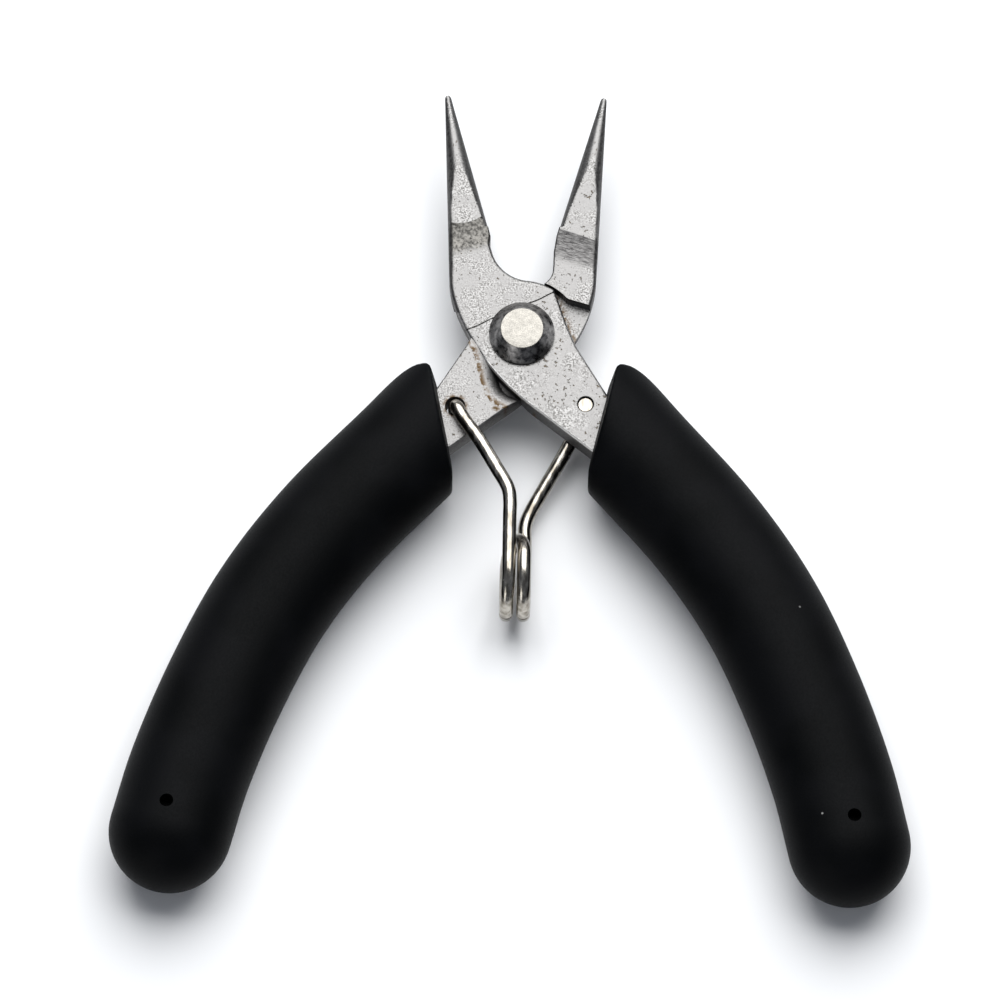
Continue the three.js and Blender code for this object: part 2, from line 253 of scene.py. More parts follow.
def blank_height(half, points, on_face):
    """Height of a face over the middle of the steel, before the joint is cut. Also where the cone's sides and
    the rounded jaw edge are painted with shade, and where the ground hollow is.
    """
    x, y = points.T
    top, end = hollow_top(x, on_face), HOLLOW_END[on_face]
    climb = np.clip((y - end) / (top - end), 0, 1)
    height = PLATE + (JAW_FLAT - PLATE) * climb ** 2
    ground_hollow = eased(0, 0.3, climb) * (y < top)
    if on_face:
        height = height - 0.05 * eased(-0.05, 0.05, step_line(x) - y)
    cone, across = cone_height(x, y)
    on_cone = (cone < height) & (y > 12)
    # The turned cone's two sides are painted dark, as painted shade where the cone turns away from the light.
    sides = np.maximum(eased(-0.22, -0.5, across), eased(0.42, 0.66, across)) * on_cone
    gap, piece = nearest(points, half.closed)
    rounding = (half.face_rounding if on_face else half.lap_rounding)[piece]
    height = rounded_edge(np.where(on_cone, cone, height), gap, rounding)
    # The rounding along the jaw's left edge is painted dark too, as painted shade.
    rim_shade = 1 - eased(0.25, 0.95, gap / rounding)
    return height, np.maximum(sides, rim_shade * (x < -3) * (y > 4)), ground_hollow


# The floor of the lap: everything that the other half's plate sweeps over.
lap_radius = BOSS_RADIUS + LAP_PLAY
shoulder = np.array([(-9, SHOULDER_Y)]
                    + arc((0, 0), lap_radius, math.pi - math.asin(SHOULDER_Y / lap_radius), math.radians(52))
                    + [(9, 7)])
arm_edge = np.array([(9, 0.5), (7.4, -1), (4.3, -3.0), (3.1, -4.94), (2.7, -5.75), (1.85, -7.03),
                     (0.99, -7.77), (-0.22, -8.12), (-1.68, -8.3), (-9, -9)])
lap_floor = np.vstack([shoulder, arm_edge])


def lap_height(half, points):
    """Depth of the lap side: full thickness outside the joint, and the floor with its two walls inside. Also
    where the arm's ramp is painted with shadow.
    """
    height, dark_sides_and_shade, hollow = blank_height(half, points, False)
    within = inside(points, lap_floor)
    past_shoulder = nearest(points, shoulder)[0] * ~within
    before_arm_edge = nearest(points, arm_edge)[0] * within
    step = np.clip(past_shoulder / SHOULDER_DRAFT, 0, 1)
    ramp = np.clip(1 - before_arm_edge / ARM_DRAFT, 0, 1)
    above = points[:, 1] > 0
    rise = np.where(above, step, np.sqrt(1 - (1 - ramp) ** 2))
    rise[within & above] = 0
    rise[~within & ~above] = 1
    depth = LAP_FLOOR + (height - LAP_FLOOR) * rise
    # The arm's ramp is painted darker away from its top edge, as painted shadow under the other half's plate.
    ramp_shade = eased(0.4, 1.9, before_arm_edge) * (1 - eased(3.5, 4.5, before_arm_edge))
    ramp_shadow = within * ~above * ramp_shade
    return depth, dark_sides_and_shade * ~within, hollow * ~within, ramp_shadow, past_shoulder


def beside(line, offsets, step=GRAIN * 0.7):
    """Mesh points along a line and at a few distances on both sides of it."""
    walked = evenly(line, step)
    side = sideways(walked)
    return np.vstack([walked + side * offset for offset in offsets])


def half_skin(half, on_face):
    """Flat positions for one side's mesh: its edges, its features, and an even field between them."""
    rounding = half.face_rounding if on_face else half.lap_rounding
    inward = sideways(np.vstack([half.ring[-1:], half.closed]))[1:-1]
    rows = []
    for share in (0.05, 0.2, 0.42, 0.7, 1.0):
        row = half.ring + inward * (rounding * share)[:, None]
        rows.append(row[nearest(row, half.closed)[0] > rounding * share * 0.93])
    x = np.arange(-6, 1, GRAIN * 0.7)
    lines = [(np.stack([x, hollow_top(x, on_face)], axis=1), (-0.05, 0, 0.05))]
    if on_face:
        x = np.arange(-6, 5, GRAIN)
        lines.append((np.stack([x, step_line(x)], axis=1), (-0.11, -0.05, 0, 0.05, 0.11)))
    else:
        lines.append((shoulder, (-0.06, 0, SHOULDER_DRAFT, 0.1, 0.2)))
        lines.append((arm_edge[::-1], (-0.1, 0, 0.05, 0.15, 0.35, 0.6, ARM_DRAFT)))
    features = np.vstack([beside(line, offsets) for line, offsets in lines])
    holes = (((0, 0), RIVET_HOLE), (half.hole, half.hole_radius))
    features = np.vstack([features] + [arc(centre, radius + grow, 0, 2 * math.pi, 40)
                                       for centre, radius in holes for grow in (0.05, 0.15)])
    across, up = np.meshgrid(np.arange(-7, 9, GRAIN), np.arange(-17, JAW_LENGTH, GRAIN * 0.866))
    across = across + (np.arange(len(across)) % 2)[:, None] * GRAIN / 2
    field = np.stack([across.ravel(), up.ravel()], axis=1)
    field = field[inside(field, half.ring)]
    gap, piece = nearest(field, half.closed)
    field = field[gap > rounding[piece] + GRAIN * 0.4]
    for line, offsets in lines:
        near = GRAIN * 0.35
        side = nearest(field, np.asarray(line))[0]
        field = field[(side > near) & (side > 0.11 + near if on_face else side > near)]
    coarse = np.vstack([tang_line + tang_side * s for s in (-0.5, 0, 0.5)])
    points = np.vstack([features, field, coarse] + rows)
    points = points[inside(points, half.ring) & (nearest(points, half.closed)[0] > 0.004)]
    for hole, clear in ((rivet_hole, 0.02), (half.hole_ring, 0.02)):
        centre = hole.mean(0)
        radius = np.linalg.norm(hole[0] - centre)
        points = points[np.linalg.norm(points - centre, axis=1) > radius + clear]
    return points


def triangulated(half, points):
    """Triangles between the outline and the holes. The edge loops come first in the list of points."""
    loops = [half.ring, rivet_hole, half.hole_ring]
    edges, first = [], 0
    for loop in loops:
        edges += [(first + i, first + (i + 1) % len(loop)) for i in range(len(loop))]
        first += len(loop)
    flat = np.vstack(loops + [points])
    made = delaunay_2d_cdt([Vector(p) for p in flat], edges, [], 0, 1e-5)
    spots = np.array([tuple(v) for v in made[0]])
    number = {old: new for new, olds in enumerate(made[3]) for old in olds}
    faces = np.array([f for f in made[2] if len(f) == 3])
    middle = spots[faces].mean(1)
    keep = inside(middle, half.ring) & ~inside(middle, rivet_hole) & ~inside(middle, half.hole_ring)
    faces = faces[keep]
    a, b, c = (spots[faces[:, i]] for i in range(3))
    turned = (b[:, 0] - a[:, 0]) * (c[:, 1] - a[:, 1]) < (b[:, 1] - a[:, 1]) * (c[:, 0] - a[:, 0])
    faces[turned] = faces[turned][:, ::-1]
    return spots, faces, [number[i] for i in range(first)], [len(loop) for loop in loops]


def forged_half(half):
    """Vertices, faces and finish of one half, with its painted highlight and painted shade, closed, in
    millimetres.
    """
    top, top_faces, top_loops, counts = triangulated(half, half_skin(half, True))
    low, low_faces, low_loops, _ = triangulated(half, half_skin(half, False))
    height, dark_sides_and_shade, hollow = blank_height(half, top, True)
    gap, piece = nearest(top, half.closed)
    on_highlit_edge = half.bevelled[piece]
    # A near white colour is painted along the rounding of that edge as a painted highlight, and a dark line
    # just inside it as painted shade.
    bevel = on_highlit_edge * (1 - eased(0.16, 0.2, gap))
    shade_inside_highlight = on_highlit_edge * np.exp(-((gap - 0.3) / 0.06) ** 2) * 0.5
    # A dark line is painted along the shallow step across the boss as painted shade of the step, left out in
    # places left of the rivet.
    left_of_rivet = eased(0.6, 0.9, np.sin(9 * top[:, 0]) * (top[:, 0] < 0))
    step = np.exp(-((top[:, 1] - step_line(top[:, 0])) / 0.06) ** 2) * (1 - left_of_rivet)
    depth, lap_dark_sides_and_shade, low_hollow, ramp_shadow, past_shoulder = lap_height(half, low)

    # Grime gathers where the other half's edge rubs on the lap, along the top of the arm's ramp, and round
    # the spring's hole. A faint dark line crosses the arm as painted shade of a step where the lap's cutter
    # stopped.
    turn = Matrix.Rotation(-2 * OPEN_ANGLE, 2)
    met = low * (-1, 1) @ np.array(turn).T
    rubbed = np.exp(-(nearest(met, half.closed)[0] / 0.4) ** 2) * ~inside(met, half.ring)
    on_floor = inside(low, lap_floor)
    ledge = np.exp(-((nearest(low, arm_edge)[0] - 0.15) / 0.32) ** 2) * on_floor * (low[:, 1] < 0)
    spot = np.exp(-(np.linalg.norm((low - (0.15, -8.35)) * (1, 2.2), axis=1) / 0.45) ** 4)
    round_hole = np.exp(-((np.linalg.norm(low - half.hole, axis=1) - half.hole_radius) / 0.22) ** 2)
    grime = np.maximum.reduce([rubbed * on_floor * (low[:, 1] > 0) * 0.9, ledge * 0.9, spot,
                               round_hole * 0.7])
    arm_step_shade = np.exp(-((low[:, 1] + 8.64) / 0.06) ** 2) * 0.45 * (low[:, 0] < 5.9)

    vertices = np.vstack([np.column_stack([top, height]), np.column_stack([low, -depth])])
    faces = [tuple(f) for f in top_faces] + [tuple(f[::-1] + len(top)) for f in low_faces]
    first = 0
    for count in counts:
        for i in range(count):
            j = (i + 1) % count
            a, b = top_loops[first + i], top_loops[first + j]
            c, d = low_loops[first + j] + len(top), low_loops[first + i] + len(top)
            faces.append((d, c, b, a))
        first += count
    # A dark line is painted on the lap shoulder's upright face and along its foot, as painted shade.
    foot = np.exp(-(past_shoulder / 0.05) ** 2) * ~on_floor * (low[:, 1] > 0)
    # The outline's vertices, top and bottom, take the dark grey of the side walls.
    edge = np.zeros(len(vertices))
    edge[top_loops] = 1
    edge[np.array(low_loops) + len(top)] = 1
    finish = {
        # dark grey side walls, and painted shade on the cone's sides, the rounded jaw edge and the arm's ramp
        "dark_sides_and_shade": np.maximum(np.concatenate([dark_sides_and_shade, np.maximum(lap_dark_sides_and_shade, ramp_shadow)]), edge * 0.9),
        # the ground hollow, whose colours are painted darker as painted shade
        "hollow": np.concatenate([hollow, low_hollow]),
        # painted shade lines: along the boss step, inside the highlighted edge, at the lap shoulder and
        # across the arm
        "line": np.concatenate([np.maximum(step, shade_inside_highlight), np.maximum(foot, arm_step_shade)]),
        # the painted highlight along the front face's lower left edge
        "bevel": np.concatenate([bevel, np.zeros(len(low))]),
        "grime": np.concatenate([np.zeros(len(top)), grime]),
        "streaks": np.full(len(vertices), float(half.streaks)),
    }
    return vertices, faces, finish


def linear(code):
    """An sRGB hex colour as linear values."""
    parts = [int(code[i:i + 2], 16) / 255 for i in (0, 2, 4)]
    return tuple(p / 12.92 if p <= 0.04045 else ((p + 0.055) / 1.055) ** 2.4 for p in parts) + (1.0,)


def node(tree, kind, settings=None, **links):
    """Adds a node. Settings go on the node, and each link is an input by name: a value or another socket."""
    made = tree.nodes.new(kind)
    for name, value in (settings or {}).items():
        setattr(made, name, value)
    for name, value in links.items():
        key = int(name[1:]) if name[0] == "_" and name[1:].isdigit() else name.replace("_", " ")
        if isinstance(value, bpy.types.NodeSocket):
            tree.links.new(value, made.inputs[key])
        else:
            made.inputs[key].default_value = value
    return made


def material(name):
    made = bpy.data.materials.new(name)
    made.use_nodes = True
    tree = made.node_tree
    return made, tree, tree.nodes["Principled BSDF"]


def blended(tree, factor, a, b):
    """Two colours or colour sockets mixed by a factor."""
    mix = node(tree, "ShaderNodeMix", {"data_type": "RGBA"}, _0=factor)
    for key, value in ((6, a), (7, b)):
        if isinstance(value, bpy.types.NodeSocket):
            tree.links.new(value, mix.inputs[key])
        else:
            mix.inputs[key].default_value = value
    return mix.outputs[2]


def sum_of(tree, operation, a, b):
    return node(tree, "ShaderNodeMath", {"operation": operation}, _0=a, _1=b).outputs[0]


def banded(tree, value, low, high, to_low=0.0, to_high=1.0):
    """A value remapped between two limits, and held outside them."""
    made = node(tree, "ShaderNodeMapRange", {"interpolation_type": "SMOOTHSTEP"},
                Value=value, From_Min=low, From_Max=high, To_Min=to_low, To_Max=to_high)
    return made.outputs[0]


def speckle(tree, position, size_mm, detail=2.0, roughness=0.5, offset=0.0):
    """Noise whose blobs are about size_mm across, on positions in metres."""
    moved = node(tree, "ShaderNodeVectorMath", {"operation": "ADD"}, _0=position, _1=(offset, offset, offset))
    made = node(tree, "ShaderNodeTexNoise", Vector=moved.outputs[0], Scale=1 / (size_mm * MM), Detail=detail,
                Roughness=roughness)
    return made.outputs["Fac"]


def attribute(tree, name):
    return node(tree, "ShaderNodeAttribute", {"attribute_name": name}).outputs["Fac"]


def ground_stainless_steel():
    """Stainless steel, ground and finely blasted: a satin grey with fine grain, pits in loose clusters,
    dark grey side walls, painted shade on the cone's sides, the rounded jaw edge and the arm's ramp, a
    hollow mottled on one half and brushed on the other and painted darker as painted shade, a painted
    highlight along one rounded edge, painted shade lines at steps and corners, and brown grime."""
    made, tree, shader = material("ground_stainless_steel")
    place = node(tree, "ShaderNodeTexCoord").outputs["Object"]
    grain = speckle(tree, place, 0.16, 2)
    cloud = speckle(tree, place, 2.6, 3, offset=0.4)
    pits = speckle(tree, place, 0.34, 3, 0.6, offset=0.9)
    dark_sides_and_shade = attribute(tree, "dark_sides_and_shade")
    hollow = attribute(tree, "hollow")
    line = attribute(tree, "line")
    grime = attribute(tree, "grime")

    bright = blended(tree, banded(tree, grain, 0.34, 0.66), linear("4F4E4C"), linear("979695"))
    bright = blended(tree, banded(tree, cloud, 0.35, 0.65), bright, linear("7C7B7A"))
    cluster = banded(tree, cloud, 0.44, 0.62, 0.0, 0.1)
    depth = sum_of(tree, "SUBTRACT", 0.70, cluster)
    pitted = banded(tree, sum_of(tree, "SUBTRACT", pits, depth), 0.0, 0.05)
    bright = blended(tree, pitted, bright, linear("4E4840"))

    uv = node(tree, "ShaderNodeUVMap", {"uv_map": "closed_mm"}).outputs[0]
    stretched = node(tree, "ShaderNodeMapping", Vector=uv, Scale=(1.2, 9.0, 1.0)).outputs[0]
    brushing = node(tree, "ShaderNodeTexNoise", Vector=stretched, Scale=1.0, Detail=3.0).outputs["Fac"]
    # The hollow is mottled on the front half and brushed on the back, and both are painted darker than the
    # faces as painted shade over the concave hollow.
    brushed = blended(tree, banded(tree, brushing, 0.35, 0.65), linear("424141"), linear("6F6E6D"))
    mottling = banded(tree, speckle(tree, place, 0.3, 3), 0.32, 0.66)
    mottled = blended(tree, mottling, linear("3E3D3B"), linear("73716D"))
    brushed = blended(tree, attribute(tree, "streaks"), mottled, brushed)
    colour = blended(tree, hollow, bright, brushed)

    # The painted highlight along the rounding of the front face's lower left edge.
    colour = blended(tree, attribute(tree, "bevel"), colour, linear("F2F0EC"))
    # A dark grey goes on the side walls, and as painted shade on the cone's sides, the rounded jaw edge and
    # the arm's ramp.
    skin_grain = speckle(tree, place, 0.3, 3, 0.6, offset=0.2)
    skin = blended(tree, banded(tree, skin_grain, 0.3, 0.7), linear("2E2D2D"), linear("545352"))
    colour = blended(tree, dark_sides_and_shade, colour, skin)
    # Painted shade lines at the steps, the lap shoulder and inside the highlighted edge, in a dark brown
    # grey.
    colour = blended(tree, banded(tree, line, 0.25, 0.8), colour, linear("33302C"))
    rust = speckle(tree, place, 0.5, 3, 0.6, offset=0.7)
    rusty = sum_of(tree, "MULTIPLY", grime, banded(tree, rust, 0.40, 0.58))
    colour = blended(tree, rusty, colour, linear("5A4424"))
    tree.links.new(colour, shader.inputs["Base Color"])

    shader.inputs["Metallic"].default_value = 1.0
    rough = banded(tree, grain, 0.3, 0.7, 0.34, 0.44)
    rough = sum_of(tree, "ADD", rough, sum_of(tree, "MULTIPLY", dark_sides_and_shade, 0.12))
    rough = sum_of(tree, "ADD", rough, sum_of(tree, "MULTIPLY", rusty, 0.3))
    tree.links.new(rough, shader.inputs["Roughness"])
    relief = sum_of(tree, "SUBTRACT", grain, sum_of(tree, "MULTIPLY", pitted, 2.0))
    bump = node(tree, "ShaderNodeBump", Strength=0.35, Distance=0.048 * MM, Height=relief)
    tree.links.new(bump.outputs[0], shader.inputs["Normal"])
    return made


def as_object(name, vertices, faces, place, look, sharp=30):
    """A finished object at the origin, with its place in its mesh."""
    mesh = bpy.data.meshes.new(name)
    mesh.from_pydata([tuple(v) for v in vertices], [], [tuple(int(i) for i in f) for f in faces])
    mesh.transform(place)
    mesh.materials.append(look)
    mesh.shade_smooth()
    mesh.set_sharp_from_angle(angle=math.radians(sharp))
    mesh.update()
    made = bpy.data.objects.new(name, mesh)
    bpy.context.scene.collection.objects.link(made)
    return made


steel_look = ground_stainless_steel()
for name, place in (("front_half", FRONT), ("back_half", BACK)):
    half_vertices, half_faces, half_finish_and_shade = forged_half(edged(name))
    piece = as_object(name + "_steel", half_vertices, half_faces, place, steel_look)
    for label, values in half_finish_and_shade.items():
        stored = piece.data.attributes.new(label, "FLOAT", "POINT")
        stored.data.foreach_set("value", values.astype(np.float32))
    flat_place = piece.data.uv_layers.new(name="closed_mm")
    corners = np.zeros(len(piece.data.loops), int)
    piece.data.loops.foreach_get("vertex_index", corners)
    flat_place.data.foreach_set("uv", half_vertices[corners][:, :2].astype(np.float32).ravel())
    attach(piece, name)
    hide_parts(name)


# ---------------------------------------------------------------- rivet
# One turned steel pin through both halves, its two heads coned and their tops faced bright in a lathe.
# It is set in the back half, and the front half turns on it.

SHANK_RADIUS = 1.9
HEAD_RADIUS = 3.28
TOP_RADIUS = 2.12
HEAD_HEIGHT = 1.7
HEAD_RIM = 0.3
HEAD_SEAT = PLATE + 0.03


def turned_pin(sides=96):
    """The pin's outline, spun about its own axis."""
    upper = [(SHANK_RADIUS, 0), (SHANK_RADIUS, HEAD_SEAT), (HEAD_RADIUS - 0.1, HEAD_SEAT),
             (HEAD_RADIUS, HEAD_SEAT + 0.1), (HEAD_RADIUS, HEAD_SEAT + HEAD_RIM),
             (HEAD_RADIUS - 0.06, HEAD_SEAT + HEAD_RIM + 0.08)]
    upper += [(TOP_RADIUS + 0.08, HEAD_SEAT + HEAD_HEIGHT - 0.09),
              (TOP_RADIUS, HEAD_SEAT + HEAD_HEIGHT - 0.02), (TOP_RADIUS - 0.08, HEAD_SEAT + HEAD_HEIGHT)]
    upper += [(TOP_RADIUS * share, HEAD_SEAT + HEAD_HEIGHT) for share in (0.7, 0.4, 0.15)]
    lower = [(radius, -height) for radius, height in upper[1:]]
    profile = lower[::-1] + upper
    angles = np.arange(sides) * 2 * math.pi / sides
    vertices = [(0, 0, -HEAD_SEAT - HEAD_HEIGHT)]
    for radius, height in profile:
        vertices += [(radius * math.cos(a), radius * math.sin(a), height) for a in angles]
    vertices.append((0, 0, HEAD_SEAT + HEAD_HEIGHT))
    faces = []
    for ring in range(len(profile) - 1):
        for i in range(sides):
            j = (i + 1) % sides
            low, high = 1 + ring * sides, 1 + (ring + 1) * sides
            faces.append((low + i, low + j, high + j, high + i))
    last = 1 + (len(profile) - 1) * sides
    for i in range(sides):
        j = (i + 1) % sides
        faces.append((0, 1 + j, 1 + i))
        faces.append((last + i, last + j, last + sides))
    return vertices, faces


def faced_rivet_steel():
    """Turned steel: a bright faced top with faint tool rings, and a darker cone with mottled skin."""
    made, tree, shader = material("faced_rivet_steel")
    place = node(tree, "ShaderNodeTexCoord").outputs["Object"]
    centred = node(tree, "ShaderNodeVectorMath", {"operation": "SUBTRACT"}, _0=place, _1=tuple(PIVOT))
    parts = node(tree, "ShaderNodeSeparateXYZ", Vector=centred.outputs[0]).outputs
    flat = node(tree, "ShaderNodeCombineXYZ", X=parts[0], Y=parts[1]).outputs[0]
    radius = node(tree, "ShaderNodeVectorMath", {"operation": "LENGTH"}, _0=flat).outputs[1]
    top = banded(tree, radius, (TOP_RADIUS - 0.02) * MM, (TOP_RADIUS + 0.08) * MM, 1.0, 0.0)
    rings = sum_of(tree, "SINE", sum_of(tree, "MULTIPLY", radius, 2 * math.pi / (0.22 * MM)), 0.0)
    grain = speckle(tree, place, 0.12, 2)
    mottle = speckle(tree, place, 0.55, 3, 0.6)
    faced = blended(tree, banded(tree, grain, 0.3, 0.7), linear("76746F"), linear("8D8A84"))
    faced = blended(tree, banded(tree, rings, 0.4, 1.0, 0.0, 0.10), faced, linear("A8A49C"))
    coned = blended(tree, banded(tree, mottle, 0.35, 0.68), linear("535252"), linear("9A9896"))
    tree.links.new(blended(tree, top, coned, faced), shader.inputs["Base Color"])
    shader.inputs["Metallic"].default_value = 1.0
    tree.links.new(banded(tree, mottle, 0.3, 0.7, 0.24, 0.38), shader.inputs["Roughness"])
    relief = sum_of(tree, "ADD", grain, sum_of(tree, "MULTIPLY", rings, 0.15))
    bump = node(tree, "ShaderNodeBump", Strength=0.25, Distance=0.03 * MM, Height=relief)
    tree.links.new(bump.outputs[0], shader.inputs["Normal"])
    return made


rivet = as_object("pivot_rivet_turned", *turned_pin(), OPENED, faced_rivet_steel(), 25)
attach(rivet, "back_half")
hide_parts("pivot_rivet")


# ---------------------------------------------------------------- return spring
# One length of bright drawn stainless wire: a hook through each arm, two legs, and a coil of one and a
# half turns between them. It is bent cold, and springs the handles open.

WIRE_RADIUS = 0.69
COIL_Y = -25.45
COIL_RADIUS = 3.75
COIL_LEFT_X = -1.12
COIL_RIGHT_X = 0.6
COIL_STEPS = 60
ENTRY_OFFSET = 0.22  # the left leg joins its turn a little to the right
EXIT_OFFSET = 0.05  # and the right leg leaves a little further out
LEG_RISE = PLATE + WIRE_RADIUS + 0.2


def spring_leg(hole, bend_x):
    """From a hook through its arm to the bend above the coil, for the left leg."""
    hook = Matrix.Rotation(OPEN_ANGLE, 2) @ Vector(hole)
    x, y = -hook.x, hook.y
    return [(x, y, -PLATE + 0.1), (x, y, -0.2), (x, y, PLATE - 0.25), (x + 0.22, y - 0.42, LEG_RISE - 0.12),
            (x + 0.95, y - 1.75, LEG_RISE + 0.15), (-4.1, -11.84, 2.9), (-2.4, -14.86, 3.4),
            (-1.15, -17.2, 3.7), (bend_x, -18.7, COIL_RADIUS), (bend_x, -20.3, COIL_RADIUS),
            (bend_x, -23, COIL_RADIUS)]


def bent_wire():
    """The wire's middle line, from the left hook to the right one, opened, in millimetres. The coil goes
    down in front on the left, up behind, over the top to the right, and round once more."""
    left = spring_leg(SPRING_HOLES["back_half"], COIL_LEFT_X + ENTRY_OFFSET)
    right = [(-x, y, -z) for x, y, z in spring_leg(SPRING_HOLES["front_half"], -COIL_RIGHT_X - EXIT_OFFSET)]
    coil = []
    for a in np.linspace(0, 3 * math.pi, COIL_STEPS):
        across = COIL_LEFT_X + (COIL_RIGHT_X - COIL_LEFT_X) * float(eased(1.15 * math.pi, 1.9 * math.pi, a))
        across += ENTRY_OFFSET * float(1 - eased(0, 0.5 * math.pi, a))
        across += EXIT_OFFSET * float(eased(2.5 * math.pi, 3 * math.pi, a))
        coil.append((across, COIL_Y - COIL_RADIUS * math.sin(a), COIL_RADIUS * math.cos(a)))
    return evenly(flowing(left + coil + right[::-1], 10), 0.22)


def sweep_tree(name):
    """A tube along a line of points: its radius, how it is flattened, and its number of sides."""
    tree = bpy.data.node_groups.new(name, "GeometryNodeTree")
    tree.is_modifier = True
    face = tree.interface
    face.new_socket("Line", in_out="INPUT", socket_type="NodeSocketGeometry")
    face.new_socket("Half width", in_out="INPUT", socket_type="NodeSocketFloat")
    face.new_socket("Half thickness", in_out="INPUT", socket_type="NodeSocketFloat")
    face.new_socket("Sides", in_out="INPUT", socket_type="NodeSocketInt")
    face.new_socket("Finish", in_out="INPUT", socket_type="NodeSocketMaterial")
    face.new_socket("Swept", in_out="OUTPUT", socket_type="NodeSocketGeometry")
    given = tree.nodes.new("NodeGroupInput").outputs
    curve = node(tree, "GeometryNodeMeshToCurve", Mesh=given["Line"]).outputs[0]
    share = node(tree, "GeometryNodeInputNamedAttribute", {"data_type": "FLOAT"}, Name="share").outputs[0]
    curve = node(tree, "GeometryNodeSetCurveNormal", {"mode": "Z_UP"}, Curve=curve).outputs[0]
    ring = node(tree, "GeometryNodeCurvePrimitiveCircle", {"mode": "RADIUS"}, Resolution=given["Sides"],
                Radius=1.0)
    size = node(tree, "ShaderNodeCombineXYZ", X=given["Half width"], Y=given["Half thickness"], Z=1.0)
    ring = node(tree, "GeometryNodeTransform", Geometry=ring.outputs[0], Scale=size.outputs[0]).outputs[0]
    tube = tree.nodes.new("GeometryNodeCurveToMesh")
    tree.links.new(curve, tube.inputs["Curve"])
    tree.links.new(ring, tube.inputs["Profile Curve"])
    tree.links.new(share, tube.inputs["Scale"])
    tube.inputs["Fill Caps"].default_value = True
    smooth = node(tree, "GeometryNodeSetShadeSmooth", Geometry=tube.outputs[0]).outputs[0]
    real = node(tree, "GeometryNodeRealizeInstances", Geometry=smooth).outputs[0]
    dressed = node(tree, "GeometryNodeSetMaterial", Geometry=real, Material=given["Finish"]).outputs[0]
    node(tree, "NodeGroupOutput", Swept=dressed)
    return tree


SWEEP = sweep_tree("sweep_along_line")


def evaluated_mesh(source):
    """What an object's modifiers make, as a plain mesh. The object goes."""
    bpy.context.view_layer.update()
    graph = bpy.context.evaluated_depsgraph_get()
    mesh = bpy.data.meshes.new_from_object(source.evaluated_get(graph))
    bpy.data.objects.remove(source)
    return mesh


def swept(line, shares, half_width, half_thickness, sides, look):
    """A tube along a line, as a mesh. Each share scales the tube at its point."""
    path = bpy.data.meshes.new("line")
    path.from_pydata([tuple(p) for p in line], [(i, i + 1) for i in range(len(line) - 1)], [])
    path.attributes.new("share", "FLOAT", "POINT").data.foreach_set("value", np.array(shares, np.float32))
    holder = bpy.data.objects.new("line", path)
    bpy.context.scene.collection.objects.link(holder)
    sweep = holder.modifiers.new("sweep", "NODES")
    sweep.node_group = SWEEP
    sockets = {item.name: item.identifier for item in SWEEP.interface.items_tree if item.in_out == "INPUT"}
    for label, value in (("Half width", half_width), ("Half thickness", half_thickness), ("Sides", sides),
                         ("Finish", look)):
        sweep[sockets[label]] = value
    return evaluated_mesh(holder)


def drawn_spring_wire():
    """Bright drawn stainless wire: a smooth reflective skin with faint streaks from the die."""
    made, tree, shader = material("drawn_spring_wire")
    place = node(tree, "ShaderNodeTexCoord").outputs["Object"]
    drawn_out = node(tree, "ShaderNodeMapping", Vector=place, Scale=(1.0, 0.25, 1.0)).outputs[0]
    streaks = node(tree, "ShaderNodeTexNoise", Vector=drawn_out, Scale=1 / (0.5 * MM), Detail=3.0)
    streaks = streaks.outputs["Fac"]
    colour = blended(tree, banded(tree, streaks, 0.3, 0.7), linear("7D776D"), linear("BDB8AF"))
    tree.links.new(colour, shader.inputs["Base Color"])
    shader.inputs["Metallic"].default_value = 1.0
    tree.links.new(banded(tree, streaks, 0.3, 0.7, 0.16, 0.28), shader.inputs["Roughness"])
    return made


wire_line = bent_wire()
wire_mesh = swept(wire_line, np.ones(len(wire_line)), WIRE_RADIUS, WIRE_RADIUS, 28, drawn_spring_wire())
wire_mesh.transform(OPENED)
spring = bpy.data.objects.new("return_spring", wire_mesh)
bpy.context.scene.collection.objects.link(spring)
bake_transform(spring)
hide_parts("spring_left_leg", "spring_right_leg")


# ---------------------------------------------------------------- grips
# Two thick sleeves of soft black vinyl, moulded and pushed hot over the steel strips. Each has a slanted
# mouth and a small vent hole near its round end.

GRIP_HALF_WIDTH = 6.15
GRIP_HALF_THICKNESS = 5.3
GRIP_TWIST = Matrix.Rotation(math.radians(0.65), 4, "Z")
GRIP_TWIST_CENTRE = Matrix.Translation((14, -28, 0))
VENT = (18.45, -59.1)
VENT_RADIUS = 0.68
MOUTH = (5.0, -11.2)
MOUTH_FACING = math.radians(61.6)
MOUTH_LEAN = math.radians(8)
MOUTH_FLAT = 1.9
VOXEL = 0.2
END_ROUNDING = 6.3


